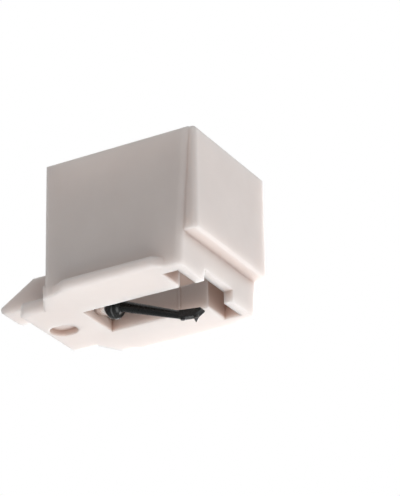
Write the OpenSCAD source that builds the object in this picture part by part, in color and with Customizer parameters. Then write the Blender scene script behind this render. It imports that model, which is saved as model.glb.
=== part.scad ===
// Replacement stylus for a moving-magnet turntable cartridge.
// Millimetres. X is across, -Y is the tip end and Z is up.
// The origin is in the middle of the box's open top, level with its rim, so all of the part hangs below it.

/* [Housing box] */

// Outside width of the box
box_w = 11.0; // [10:0.1:14]
// Length of the box at its floor, from the front wall to the rear wall
box_l = 11.35; // [10:0.05:13]
// Height of the box from underside to rim
box_h = 10.75; // [7:0.05:14]
// Thickness of the side and rear walls
wall = 0.8; // [0.6:0.05:1.1]
// Thickness of the front wall
front_wall = 0.7; // [0.5:0.05:0.9]
// Thickness of the floor plate
floor_t = 1.0; // [0.8:0.05:1.3]
// Lean of the front wall, outwards towards the rim
lean = 4.2; // [0:0.1:6]
// Rounding of the upright outside corners
corner_r = 0.5; // [0.2:0.05:0.7]
// Rounding of the rim's outer edge
rim_r = 0.35; // [0.1:0.05:0.5]

/* [Front panel] */

// How far the raised panel stands out of the front wall at the rim
panel_out = 0.45; // [0.2:0.05:0.9]
// How far the panel is set in from each side of the box
panel_inset = 0.35; // [0.1:0.05:0.8]
// Height of the panel's lower edge above the underside
panel_z = 2.65; // [1.8:0.05:4]
// Rounding of the panel's lower front edge
panel_r = 0.2; // [0.1:0.05:0.6]
// Rounding of the panel's upright front edges
panel_side_r = 0.35; // [0.1:0.05:0.4]

/* [Floor openings] */

// Width of the long slot that the cantilever comes out of, and of the notch in the front wall
slot_w = 4.1; // [3:0.1:4.8]
// Height of the notch in the front wall
notch_h = 0.9; // [0.5:0.05:1.6]
// Distance from the rear wall's outer face to the rear end of the long slot
slot_end = 1.2; // [0.85:0.05:1.35]
// Depth, front to rear, of the cross slot behind the front wall
cross_d = 1.3; // [0.8:0.05:2]
// Length of the cross slot from side to side
cross_w = 9.1; // [7:0.1:9.3]
// Height of the walls that edge the two slots inside, above the underside
guard_h = 2.25; // [1.8:0.05:3]
// Thickness of those walls
guard_t = 0.55; // [0.4:0.05:0.8]
// Rounding of their lower front edge
guard_r = 0.15; // [0.1:0.05:0.4]
// Distance of the fine upright bead on each channel wall behind the cross slot
bead_y = 2.4; // [1:0.1:5]
// Radius of that bead
bead_r = 0.1; // [0.05:0.05:0.2]

/* [Side wings] */

// How far each wing stands out of the side wall
wing_out = 0.55; // [0.3:0.05:1.2]
// Thickness of the wings
wing_t = 0.8; // [0.5:0.05:1.2]
// Start of the wings behind the front wall's outer face
wing_front = 1.3; // [1:0.1:3]
// Length of the slanted front end of the wings
wing_nose = 0.75; // [0.3:0.05:1.5]
// Gap between the wings' rear end and the rear wall's outer face
wing_rear = 0.85; // [0.5:0.05:2]
// Length of the slanted rear end of the wings
wing_slant = 1.25; // [0.6:0.05:2]
// Rounding of the wings' lower edge
wing_r = 0.4; // [0.1:0.05:0.5]

/* [Rear tab] */

// Width of the tab behind the box
tab_w = 7.6; // [6:0.1:9]
// Length of the tab behind the rear wall
tab_l = 3.3; // [2.8:0.05:5]
// Length of the slanted shoulders that join the tab to the box
shoulder = 1; // [0.6:0.05:1.6]
// Size of the cut corners at the tab's rear
tab_cut = 0.45; // [0.2:0.05:0.8]
// Rounding of the tab's lower edges
tab_r = 0.4; // [0.1:0.05:0.5]
// Width of the oval dimple in the tab's underside
dimple_d = 1.8; // [1.2:0.1:2]
// Length of the oval dimple, front to rear
dimple_l = 2.2; // [2.1:0.1:2.6]
// Depth of that dimple
dimple_depth = 0.5; // [0.2:0.05:0.6]
// Distance of the dimple's centre behind the rear wall
dimple_y = 1.7; // [1.4:0.05:1.8]

/* [Rear lug] */

// Width of the lug on the rear wall
lug_w = 2.4; // [1.5:0.1:4]
// How far the lug reaches behind the rear wall
lug_l = 6.5; // [5.2:0.1:8]
// Underside of the lug's nose above the floor's underside
lug_z = 1.9; // [1.5:0.05:2.4]
// Top of the lug above the floor's underside
lug_top = 4.4; // [4:0.05:6]
// Length of the lug's level top
lug_flat = 3.8; // [2:0.1:4.6]
// Rounding of the lug's upper edges
lug_r = 0.4; // [0.1:0.05:0.6]
// Height of the lug's nose
lug_nose = 0.95; // [0.6:0.05:1.4]

/* [Arm suspension] */

// Downward slope of the arm towards its tip
arm_slope = 21; // [18:0.5:22]
// Distance of the elastic pivot in front of the long slot's rear end
pivot_y = 0.75; // [0.65:0.05:0.85]
// Height of the elastic pivot above the underside
pivot_z = 1.3; // [1.25:0.01:1.35]
// Outside diameter of the sleeve round the pivot
sleeve_d = 1.7; // [1.6:0.05:1.8]
// Bore of the sleeve
sleeve_bore = 1.3; // [1.2:0.05:1.4]
// Length of the sleeve in front of the pivot
sleeve_front = 0.45; // [0.35:0.05:0.5]
// Length of the sleeve behind the pivot
sleeve_rear = 0.8; // [0.6:0.05:0.85]
// Thickness of the rubber damping ring along the arm
damper_t = 0.6; // [0.3:0.05:0.65]
// Running gap inside and outside the damping ring
damper_gap = 0.03; // [0.03:0.01:0.05]
// Width of the clamp block over the sleeve
clamp_w = 5.6; // [5:0.1:7]
// Height of the clamp block above the floor plate
clamp_h = 2.1; // [2:0.05:4]
// Front face of the clamp block, in front of the slot's rear end
clamp_over = 0.6; // [0.4:0.05:0.65]
// Press clearance between parts that are pushed together
press = 0.01; // [0:0.005:0.03]

/* [Cantilever] */

// Diameter of the round collar at the arm's rear end
collar_d = 2.05; // [1.8:0.05:2.2]
// Thickness of the collar
collar_t = 0.65; // [0.5:0.05:0.9]
// Rounding of the collar's edges
collar_r = 0.2; // [0.1:0.05:0.25]
// Gap between the sleeve's front and the collar
collar_gap = 0.15; // [0.13:0.01:0.2]
// Radius of the hollow fillet between collar and arm
collar_fillet = 0.35; // [0.2:0.05:0.4]
// Diameter of the arm at its collar
arm_d = 0.82; // [0.8:0.02:0.9]
// Diameter of the arm where it meets the toe
arm_toe_d = 0.6; // [0.4:0.02:0.6]
// Length of the sloping arm in front of the pivot
arm_l = 6.8; // [6.5:0.05:7.1]
// Downward slope of the toe
toe_slope = 6; // [0:1:10]
// Length of the toe
toe_l = 1.75; // [1.6:0.05:2]
// Height and width of the toe
toe_d = 0.58; // [0.5:0.02:0.6]
// Distance of the tip in front of the bend between arm and toe
tip_at = 1.2; // [0.9:0.05:1.3]
// Diameter of the small pin boss under the toe
boss_d = 0.35; // [0.2:0.05:0.5]

/* [Magnet and tip] */

// Diameter of the rod magnet
magnet_d = 0.7; // [0.6:0.02:0.74]
// Length of the rod magnet
magnet_l = 1.95; // [1.8:0.05:2]
// How far the magnet reaches behind the pivot
magnet_rear = 0.95; // [0.8:0.05:1.05]
// Diameter of the tip's metal shank
shank_d = 0.4; // [0.3:0.02:0.42]
// Length of the shank
shank_l = 0.62; // [0.5:0.02:0.7]
// Length of the pointed diamond under the shank
diamond_l = 0.36; // [0.2:0.02:0.5]
// Radius of the diamond's point
point_r = 0.02; // [0.01:0.005:0.03]

/* [Hidden] */
$fn = 48;
eps = 0.01;
big = 40;
half_w = box_w / 2;
half_slot = slot_w / 2;
half_tab = tab_w / 2;
// the middle of the box's inside, front to rear, where the frame's origin lies
socket_y = (front_wall + box_l - wall) / 2;
// the front wall's outer face at the rim
rim_y = -box_h * tan(lean);
panel_y = rim_y - panel_out;
half_panel = half_w - panel_inset;
rear_in = box_l - wall;
half_cross = cross_w / 2;
guard_y = front_wall + cross_d;
wing_end = box_l - wing_rear;
tab_y = box_l + tab_l;
sleeve_r = sleeve_d / 2;
bore_r = sleeve_bore / 2;
arm_r = arm_d / 2;
magnet_r = magnet_d / 2;
collar_s = sleeve_front + collar_gap;
collar_front = collar_s + collar_t;
// the slot's rear end and the pivot follow the rear wall, which carries the clamp
slot_rear = box_l - slot_end;
pivot_at = slot_rear - pivot_y;
clamp_y = slot_rear - clamp_over;
// the bend between the sloping arm and the toe
bend_y = pivot_at - arm_l * cos(arm_slope);
bend_z = pivot_z - arm_l * sin(arm_slope);
tip_y = bend_y - tip_at * cos(toe_slope);
toe_z = bend_z - tip_at * sin(toe_slope);
toe_under = toe_z - toe_d / 2 / cos(toe_slope);
shank_end = toe_under - 0.08;

// a rectangle with round corners, from its low corner
module round_rect(low, high, r) {
  translate([low[0] + r, low[1]])
    square([high[0] - low[0] - 2 * r, high[1] - low[1]]);
  translate([low[0], low[1] + r])
    square([high[0] - low[0], high[1] - low[1] - 2 * r]);
  for (x = [low[0] + r, high[0] - r])
    for (y = [low[1] + r, high[1] - r])
      translate([x, y])
        circle(r);
}

// stands a drawing in Y and Z up, and gives it the width w about X = 0
module side_on(w) {
  translate([-w / 2, 0, 0])
    rotate([90, 0, 90])
      linear_extrude(w)
        children();
}

// moves from the drawing's zero, at the front wall's foot, to the frame's origin in the open top
module in_frame() {
  translate([0, -socket_y, -box_h])
    children();
}

// moves to the pivot with +Z along the arm, towards the tip
module on_arm() {
  translate([0, pivot_at, pivot_z])
    rotate([90 + arm_slope, 0, 0])
      children();
}

// a block with leaning front, upright rear and round upright edges, grown by g
module leaning_block(g, low, high) {
  intersection() {
    translate([0, 0, low])
      linear_extrude(high - low)
        round_rect([-half_w - g, -5], [half_w + g, box_l + g], corner_r + g);
    rotate([lean, 0, 0])
      translate([0, 0, -5])
        linear_extrude(big)
          round_rect([-half_w - g, -g], [half_w + g, box_l + 5], corner_r + g);
  }
}

module box_outside() {
  intersection() {
    leaning_block(0, 0, box_h);
    side_on(big)
      round_rect([-8, -2], [box_l, box_h], rim_r);
    translate([0, 20, 0])
      rotate([90, 0, 0])
        linear_extrude(big)
          round_rect([-half_w, -2], [half_w, box_h], rim_r);
  }
}

// the space inside the walls, open at the rim
module box_inside() {
  intersection() {
    translate([-half_w + wall, -5, floor_t])
      cube([box_w - 2 * wall, rear_in + 5, box_h]);
    rotate([lean, 0, 0])
      translate([-half_w, front_wall, -5])
        cube([box_w, big, big]);
  }
}

// the upright slab on the front wall
module panel() {
  intersection() {
    side_on(2 * half_panel)
      round_rect([panel_y, panel_z], [1.5, box_h], panel_r);
    translate([0, 0, -1])
      linear_extrude(big)
        round_rect([-half_panel, panel_y], [half_panel, 3], panel_side_r);
    rotate([lean, 0, 0])
      translate([-half_w, -8, -5])
        cube([box_w, 8 + front_wall / 2, big]);
  }
}

module wings() {
  half = half_w + wing_out;
  intersection() {
    linear_extrude(wing_t)
      polygon([
        [-half_w + 0.2, wing_front],
        [-half_w, wing_front],
        [-half, wing_front + wing_nose],
        [-half, wing_end - wing_slant],
        [-half_w, wing_end],
        [half_w, wing_end],
        [half, wing_end - wing_slant],
        [half, wing_front + wing_nose],
        [half_w, wing_front]
      ]);
    translate([0, big / 2, 0])
      rotate([90, 0, 0])
        linear_extrude(big)
          round_rect([-half, 0], [half, 4], wing_r);
  }
}

// the shoulders behind the box, and the tab with its round lower edges
module tab() {
  half_neck = half_w - 0.05;
  linear_extrude(floor_t)
    polygon([
      [-half_neck, box_l - wall],
      [-half_neck, box_l],
      [-half_tab, box_l + shoulder],
      [half_tab, box_l + shoulder],
      [half_neck, box_l],
      [half_neck, box_l - wall]
    ]);
  intersection() {
    linear_extrude(floor_t)
      polygon([
        [-half_tab, box_l],
        [-half_tab, tab_y - tab_cut],
        [-half_tab + tab_cut, tab_y],
        [half_tab - tab_cut, tab_y],
        [half_tab, tab_y - tab_cut],
        [half_tab, box_l]
      ]);
    translate([0, big, 0])
      rotate([90, 0, 0])
        linear_extrude(big)
          round_rect([-half_tab, 0], [half_tab, 4], tab_r);
    side_on(big)
      round_rect([0, 0], [tab_y, 4], tab_r);
  }
}

// the lug's outline from the side
module lug_side() {
  end = box_l + lug_l;
  polygon([
    [box_l - wall / 2, floor_t - eps],
    [tab_y - tab_r, floor_t - eps],
    [tab_y - tab_r, lug_z],
    [end - 0.4, lug_z],
    [end - 0.1, lug_z + 0.15],
    [end, lug_z + 0.4],
    [end, lug_z + lug_nose - 0.2],
    [end - 0.2, lug_z + lug_nose],
    [box_l + lug_flat, lug_top],
    [box_l - wall / 2, lug_top]
  ]);
}

module lug() {
  slope = atan2(lug_top - lug_z - lug_nose, lug_l - 0.2 - lug_flat);
  intersection() {
    side_on(lug_w)
      lug_side();
    translate([0, big, 0])
      rotate([90, 0, 0])
        linear_extrude(big)
          round_rect([-lug_w / 2, -2], [lug_w / 2, lug_top], lug_r);
    translate([0, box_l + lug_flat, lug_top])
      rotate([-slope, 0, 0])
        translate([0, big / 2, 0])
          rotate([90, 0, 0])
            linear_extrude(big)
              round_rect([-lug_w / 2, -9], [lug_w / 2, 0], lug_r);
  }
}

// the walls that edge the two slots inside the box
module guards() {
  wall_l = half_w - wall / 2 - half_slot;
  for (side = [-1, 1]) {
    translate([side * (half_slot + wall_l / 2), 0, 0])
      side_on(wall_l)
        round_rect([guard_y, 0], [guard_y + guard_t, guard_h], guard_r);
    translate([side * (half_slot + guard_t / 2) - guard_t / 2, guard_y + 0.3, 0.2])
      cube([guard_t, rear_in - guard_y - 0.3 - eps, guard_h - 0.2]);
    translate([side * half_slot, guard_y + bead_y, 0.45])
      cylinder(h = guard_h - 0.45, r = bead_r);
  }
}

module housing() {
  color([0.88, 0.85, 0.82])
  in_frame()
  difference() {
    union() {
      difference() {
        union() {
          difference() {
            box_outside();
            box_inside();
          }
          wings();
          tab();
        }
        // long slot and cross slot through the floor
        translate([-half_slot, front_wall, -1])
          cube([slot_w, slot_rear - front_wall, floor_t + 2]);
        translate([-half_cross, front_wall, -1])
          cube([cross_w, cross_d + guard_r, floor_t + 2]);
      }
      panel();
      lug();
      guards();
    }
    // notch in the front wall
    translate([-half_slot, -2, -1])
      cube([slot_w, 2 + front_wall + 0.2, notch_h + 1]);
    // room for the clamp between the long walls
    translate([-clamp_w / 2 - press, clamp_y - press, floor_t])
      cube([clamp_w + 2 * press, rear_in - clamp_y + press, clamp_h + 1]);
    // cradle for the sleeve in the floor behind the slot, and room for the magnet
    on_arm()
      translate([0, 0, -sleeve_rear - 0.03])
        cylinder(h = sleeve_rear + 0.03, r = sleeve_r + press);
    on_arm()
      translate([0, 0, -magnet_rear - 0.05])
        cylinder(h = magnet_rear, r = magnet_r + 0.1);
    translate([0, box_l + dimple_y - dimple_l / 2 + dimple_d / 2, -1])
      cylinder(h = 1 + dimple_depth, d = dimple_d);
    translate([0, box_l + dimple_y + dimple_l / 2 - dimple_d / 2, -1])
      cylinder(h = 1 + dimple_depth, d = dimple_d);
    translate([-dimple_d / 2, box_l + dimple_y - dimple_l / 2 + dimple_d / 2, -1])
      cube([dimple_d, dimple_l - dimple_d, 1 + dimple_depth]);
  }
}

module clamp() {
  color([0.84, 0.81, 0.78])
  in_frame()
  difference() {
    translate([-clamp_w / 2, clamp_y, floor_t])
      cube([clamp_w, rear_in - press - clamp_y, clamp_h]);
    on_arm()
      translate([0, 0, -sleeve_rear - 0.02])
        cylinder(h = sleeve_rear + 3, r = sleeve_r + press);
    // room for the magnet's rear end
    on_arm()
      translate([0, 0, -big])
        cylinder(h = big + 1, r = bore_r);
  }
}

module sleeve() {
  color([0.7, 0.7, 0.72])
  in_frame()
  on_arm()
    translate([0, 0, -sleeve_rear])
      difference() {
        cylinder(h = sleeve_rear + sleeve_front, r = sleeve_r);
        translate([0, 0, -1])
          cylinder(h = sleeve_rear + sleeve_front + 2, r = bore_r);
      }
}

module damper() {
  color([0.03, 0.03, 0.03])
  in_frame()
  on_arm()
    translate([0, 0, -damper_t / 2])
      difference() {
        cylinder(h = damper_t, r = bore_r - damper_gap);
        translate([0, 0, -1])
          cylinder(h = damper_t + 2, r = magnet_r + damper_gap);
      }
}

// the toe along its own slope, from the bend to its cut front end
module toe() {
  translate([0, bend_y, bend_z])
    rotate([toe_slope, 0, 0])
      side_on(toe_d)
        polygon([
          [0.1, -toe_d / 2],
          [-toe_l + 0.55, -toe_d / 2],
          [-toe_l, -toe_d / 2 + 0.4],
          [-toe_l, toe_d / 2 - 0.08],
          [-toe_l + 0.08, toe_d / 2],
          [0.1, toe_d / 2]
        ]);
}

// the collar's half section, with its hollow fillet towards the arm
module collar_section() {
  r = collar_d / 2;
  difference() {
    union() {
      translate([0, collar_s])
        square([r - collar_r, collar_t]);
      translate([0, collar_s + collar_r])
        square([r, collar_t - 2 * collar_r]);
      for (y = [collar_s + collar_r, collar_front - collar_r])
        translate([r - collar_r, y])
          circle(collar_r);
      translate([0, collar_front - eps])
        square([arm_r + collar_fillet, collar_fillet + eps]);
    }
    translate([arm_r + collar_fillet, collar_front + collar_fillet])
      circle(collar_fillet);
    translate([-1, 0])
      square([1, big]);
  }
}

module cantilever() {
  color([0.05, 0.06, 0.06])
  in_frame()
  difference() {
    union() {
      on_arm()
        rotate_extrude()
          collar_section();
      on_arm()
        translate([0, 0, collar_front])
          cylinder(h = 1, r = arm_r);
      on_arm()
        translate([0, 0, collar_front + 1 - eps])
          cylinder(h = arm_l - collar_front - 1 + eps, r1 = arm_r, r2 = arm_toe_d / 2);
      translate([0, bend_y, bend_z])
        sphere(d = arm_toe_d + 0.03);
      toe();
      translate([0, bend_y - 0.1, bend_z - toe_d / 2 - 0.1])
        cylinder(h = 0.4, d = boss_d);
    }
    on_arm()
      cylinder(h = magnet_l - magnet_rear, r = magnet_r);
    translate([0, tip_y, shank_end - 1])
      cylinder(h = shank_l + 1, d = shank_d);
  }
}

module magnet() {
  color([0.5, 0.5, 0.52])
  in_frame()
  on_arm()
    translate([0, 0, -magnet_rear])
      cylinder(h = magnet_l, r = magnet_r);
}

module shank() {
  color([0.7, 0.7, 0.72])
  in_frame()
  translate([0, tip_y, shank_end])
    cylinder(h = shank_l, d = shank_d);
}

module diamond() {
  color([0.55, 0.55, 0.6])
  in_frame()
  translate([0, tip_y, shank_end - diamond_l])
    rotate_extrude()
      polygon([
        [0, 0],
        [point_r, point_r * 0.6],
        [shank_d / 2 - 0.04, diamond_l - 0.06],
        [shank_d / 2 - 0.04, diamond_l],
        [0, diamond_l]
      ]);
}

housing();
clamp();
sleeve();
damper();
cantilever();
magnet();
shank();
diamond();
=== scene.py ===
import math

import bpy
from mathutils import Matrix, Vector

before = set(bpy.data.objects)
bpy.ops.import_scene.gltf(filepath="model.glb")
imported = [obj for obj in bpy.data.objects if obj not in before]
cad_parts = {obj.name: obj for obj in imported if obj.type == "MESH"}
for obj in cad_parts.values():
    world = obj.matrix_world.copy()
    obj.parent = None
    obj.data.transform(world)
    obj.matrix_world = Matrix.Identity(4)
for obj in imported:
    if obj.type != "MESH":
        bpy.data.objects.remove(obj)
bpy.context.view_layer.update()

scene = bpy.context.scene
scene.view_settings.view_transform = "Standard"

# Lengths are in metres, strengths and colours in Blender's own units
PLASTIC_IOR = 1.5
DIAMOND_IOR = 2.4
HOUSING_EDGE = 0.00026
SMALL_EDGE = 0.00006
METAL_EDGE = 0.00003
# how far the painted shade in the plastic's hollows reaches
PAINTED_SHADE_REACH = 0.006
LIGHT_REACH = 0.0024
FLOOR_Z = -0.14
FLOOR_HALF = 4
AMBIENT = 0.40
WHITE = 1.0
# the middle of the part, which the lamps are aimed at
PART_MIDDLE = (0, 0, -0.008)


# Materials

def new_material(name):
    mat = bpy.data.materials.new(name)
    mat.use_nodes = True
    tree = mat.node_tree
    return mat, tree, tree.nodes["Principled BSDF"]


def node(tree, kind, **values):
    made = tree.nodes.new(kind)
    for key, value in values.items():
        setattr(made, key, value)
    return made


def noise(tree, scale, detail, stretch=None):
    tex = node(tree, "ShaderNodeTexNoise")
    tex.inputs["Scale"].default_value = scale
    tex.inputs["Detail"].default_value = detail
    where = node(tree, "ShaderNodeTexCoord").outputs["Object"]
    if stretch:
        mapping = node(tree, "ShaderNodeMapping")
        mapping.inputs["Scale"].default_value = stretch
        tree.links.new(where, mapping.inputs["Vector"])
        where = mapping.outputs["Vector"]
    tree.links.new(where, tex.inputs["Vector"])
    return tex.outputs["Fac"]


def ramp(tree, fac, low, high):
    # low and high are each a place on the ramp and the colour there
    made = node(tree, "ShaderNodeValToRGB")
    for element, (at, colour) in zip(made.color_ramp.elements, (low, high)):
        element.position = at
        element.color = (*colour, 1)
    tree.links.new(fac, made.inputs["Fac"])
    return made.outputs["Color"]


def span(tree, fac, low, high, at=(0.3, 0.7)):
    made = node(tree, "ShaderNodeMapRange")
    made.inputs["From Min"].default_value = at[0]
    made.inputs["From Max"].default_value = at[1]
    made.inputs["To Min"].default_value = low
    made.inputs["To Max"].default_value = high
    tree.links.new(fac, made.inputs["Value"])
    return made.outputs["Result"]


def bumps(tree, shader, layers, edge):
    # shades edges as rounded by edge, then adds each layer of fine relief
    round_edge = node(tree, "ShaderNodeBevel", samples=6)
    round_edge.inputs["Radius"].default_value = edge
    normal = round_edge.outputs["Normal"]
    for fac, strength, depth in layers:
        made = node(tree, "ShaderNodeBump")
        made.inputs["Strength"].default_value = strength
        made.inputs["Distance"].default_value = depth
        tree.links.new(fac, made.inputs["Height"])
        tree.links.new(normal, made.inputs["Normal"])
        normal = made.outputs["Normal"]
    tree.links.new(normal, shader.inputs["Normal"])


def moulded(name, dark, light, shade_colour, rough):
    # pale plastic that lets light through its walls, with faint flow clouds, a satin mould grain and painted
    # shade: the colour turns dark warm brown in hollows and recesses
    mat, tree, shader = new_material(name)
    pale = ramp(tree, noise(tree, 260, 4), (0.3, dark), (0.7, light))
    # painted shade: where ambient occlusion finds nearby surfaces, the base colour is mixed towards the dark
    # brown shade colour
    recess_ao = node(tree, "ShaderNodeAmbientOcclusion", samples=8)
    recess_ao.inputs["Distance"].default_value = PAINTED_SHADE_REACH
    painted_shade_mix = node(tree, "ShaderNodeMix", data_type="RGBA")
    tree.links.new(span(tree, recess_ao.outputs["AO"], 1.0, 0.0, at=(0.2, 0.8)), painted_shade_mix.inputs["Factor"])
    tree.links.new(pale, painted_shade_mix.inputs["A"])
    painted_shade_mix.inputs["B"].default_value = (*shade_colour, 1)
    tree.links.new(painted_shade_mix.outputs["Result"], shader.inputs["Base Color"])
    tree.links.new(span(tree, noise(tree, 900, 3), rough - 0.05, rough + 0.07), shader.inputs["Roughness"])
    shader.inputs["IOR"].default_value = PLASTIC_IOR
    shader.inputs["Subsurface Weight"].default_value = 1.0
    shader.inputs["Subsurface Radius"].default_value = (1.0, 0.94, 0.91)
    shader.inputs["Subsurface Scale"].default_value = LIGHT_REACH
    grain = (noise(tree, 9000, 2), 0.12, 0.00001)
    waves = (noise(tree, 700, 2), 0.10, 0.00003)
    bumps(tree, shader, [grain, waves], HOUSING_EDGE)
    return mat


def black_plastic(name, base, rough, shine=0.5):
    mat, tree, shader = new_material(name)
    tone = noise(tree, 2500, 3)
    lighter = tuple(c * 1.7 for c in base)
    tree.links.new(ramp(tree, tone, (0.35, base), (0.75, lighter)), shader.inputs["Base Color"])
    tree.links.new(span(tree, noise(tree, 3500, 3), rough - 0.06, rough + 0.1), shader.inputs["Roughness"])
    shader.inputs["IOR"].default_value = PLASTIC_IOR
    shader.inputs["Specular IOR Level"].default_value = shine
    bumps(tree, shader, [(noise(tree, 6000, 3), 0.25, 0.00001)], SMALL_EDGE)
    return mat


def metal(name, base, rough):
    mat, tree, shader = new_material(name)
    shader.inputs["Metallic"].default_value = 1.0
    grain = noise(tree, 5000, 3, stretch=(1, 1, 0.15))
    darker = tuple(c * 0.8 for c in base)
    tree.links.new(ramp(tree, grain, (0.3, darker), (0.7, base)), shader.inputs["Base Color"])
    tree.links.new(span(tree, grain, rough, rough + 0.12), shader.inputs["Roughness"])
    bumps(tree, shader, [(grain, 0.15, 0.000008)], METAL_EDGE)
    return mat


def gem(name, dark, light):
    mat, tree, shader = new_material(name)
    tint = noise(tree, 8000, 2)
    tree.links.new(ramp(tree, tint, (0.3, dark), (0.7, light)), shader.inputs["Base Color"])
    tree.links.new(span(tree, tint, 0.04, 0.1), shader.inputs["Roughness"])
    shader.inputs["IOR"].default_value = DIAMOND_IOR
    return mat


# the third colour of each moulded plastic is the painted shade colour that its hollows and recesses turn to
looks = {
    "housing": moulded("pale_plastic", (0.665, 0.600, 0.572), (0.700, 0.634, 0.605), (0.42, 0.30, 0.25), 0.42),
    "clamp": moulded("clamp_plastic", (0.72, 0.67, 0.64), (0.76, 0.71, 0.68), (0.66, 0.58, 0.53), 0.45),
    "sleeve": metal("drawn_tube", (0.90, 0.88, 0.86), 0.25),
    "damper": black_plastic("damping_rubber", (0.010, 0.010, 0.010), 0.7),
    "cantilever": black_plastic("arm_plastic", (0.0030, 0.0038, 0.0038), 0.27, shine=0.32),
    "magnet": metal("plated_magnet", (0.45, 0.45, 0.46), 0.25),
    "shank": metal("polished_shank", (0.06, 0.058, 0.056), 0.25),
    "diamond": gem("polished_diamond", (0.010, 0.009, 0.008), (0.030, 0.026, 0.024)),
}
for name, mat in looks.items():
    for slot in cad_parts[name].material_slots:
        slot.material = mat


# Camera: looks up at the underside from the front left, as the photograph does

def camera(azimuth, elevation, roll, lens, sensor, distance, right, up):
    # right and up move the camera across its view, so that the part sits where the photograph has it
    az, el, ro = (math.radians(a) for a in (azimuth, elevation, roll))
    back = Vector((math.sin(az) * math.cos(el), -math.cos(az) * math.cos(el), math.sin(el)))
    side = Vector((math.cos(az), math.sin(az), 0))
    top = back.cross(side)
    x = side * math.cos(ro) + top * math.sin(ro)
    y = top * math.cos(ro) - side * math.sin(ro)
    data = bpy.data.cameras.new("camera")
    data.lens = lens
    data.sensor_width = sensor
    data.clip_start = 0.005
    data.clip_end = 20
    made = bpy.data.objects.new("camera", data)
    scene.collection.objects.link(made)
    where = x * right + y * up + back * distance
    turn = Matrix((x, y, back)).transposed().to_4x4()
    made.matrix_world = Matrix.Translation(where) @ turn
    scene.camera = made


# the lens is that of a picture 496 pixels high, seen from 2600 pixels away
FOCAL_PIXELS = 2600
PICTURE_PIXELS = 496
SENSOR = 36
camera(azimuth=-60.504, elevation=-25.851, roll=-1.0414,
       lens=FOCAL_PIXELS * SENSOR / PICTURE_PIXELS, sensor=SENSOR,
       distance=0.19246, right=0.0037392, up=-0.0052969)


# Stage: a wide pale floor well under the part, and a white world

mesh = bpy.data.meshes.new("floor")
corners = [(-1, -1), (1, -1), (1, 1), (-1, 1)]
mesh.from_pydata([(x * FLOOR_HALF, y * FLOOR_HALF, FLOOR_Z) for x, y in corners], [], [(0, 1, 2, 3)])
floor = bpy.data.objects.new("floor", mesh)
scene.collection.objects.link(floor)
floor_mat, tree, shader = new_material("floor_paint")
tree.links.new(ramp(tree, noise(tree, 3, 2), (0.3, (0.80, 0.80, 0.80)), (0.7, (0.83, 0.83, 0.83))),
               shader.inputs["Base Color"])
shader.inputs["Roughness"].default_value = 0.9
mesh.materials.append(floor_mat)

world = bpy.data.worlds.new("studio")
scene.world = world
world.use_nodes = True
tree = world.node_tree
tree.nodes.clear()


def either(a, b):
    made = node(tree, "ShaderNodeMath", operation="MAXIMUM")
    tree.links.new(a, made.inputs[0])
    tree.links.new(b, made.inputs[1])
    return made.outputs[0]


def sky(strength):
    made = node(tree, "ShaderNodeBackground")
    made.inputs["Color"].default_value = (1, 1, 1, 1)
    made.inputs["Strength"].default_value = strength
    return made.outputs[0]


# the camera, reflections and views through clear pieces meet pure white; dull surfaces get weaker light
path = node(tree, "ShaderNodeLightPath")
seen = either(either(path.outputs["Is Camera Ray"], path.outputs["Is Glossy Ray"]),
              path.outputs["Is Transmission Ray"])
mix = node(tree, "ShaderNodeMixShader")
tree.links.new(seen, mix.inputs["Fac"])
tree.links.new(sky(AMBIENT), mix.inputs[1])
tree.links.new(sky(WHITE), mix.inputs[2])
tree.links.new(mix.outputs[0], node(tree, "ShaderNodeOutputWorld").inputs["Surface"])


def softbox(name, where, size, power):
    data = bpy.data.lights.new(name, "AREA")
    data.shape = "RECTANGLE"
    data.size, data.size_y = size
    data.energy = power
    made = bpy.data.objects.new(name, data)
    scene.collection.objects.link(made)
    way = Vector(PART_MIDDLE) - Vector(where)
    made.rotation_euler = way.to_track_quat("-Z", "Y").to_euler()
    made.location = where


# the main light comes from below, so the underside is brightest and the left side is dim;
# the lamp on the far side shines through the thin walls
softbox("under", where=(0.0, -0.02, -0.135), size=(0.16, 0.16), power=0.25)
softbox("front_right", where=(0.16, -0.22, 0.05), size=(0.16, 0.2), power=0.22)
softbox("far_side", where=(0.2, 0.03, 0.0), size=(0.16, 0.16), power=0.30)
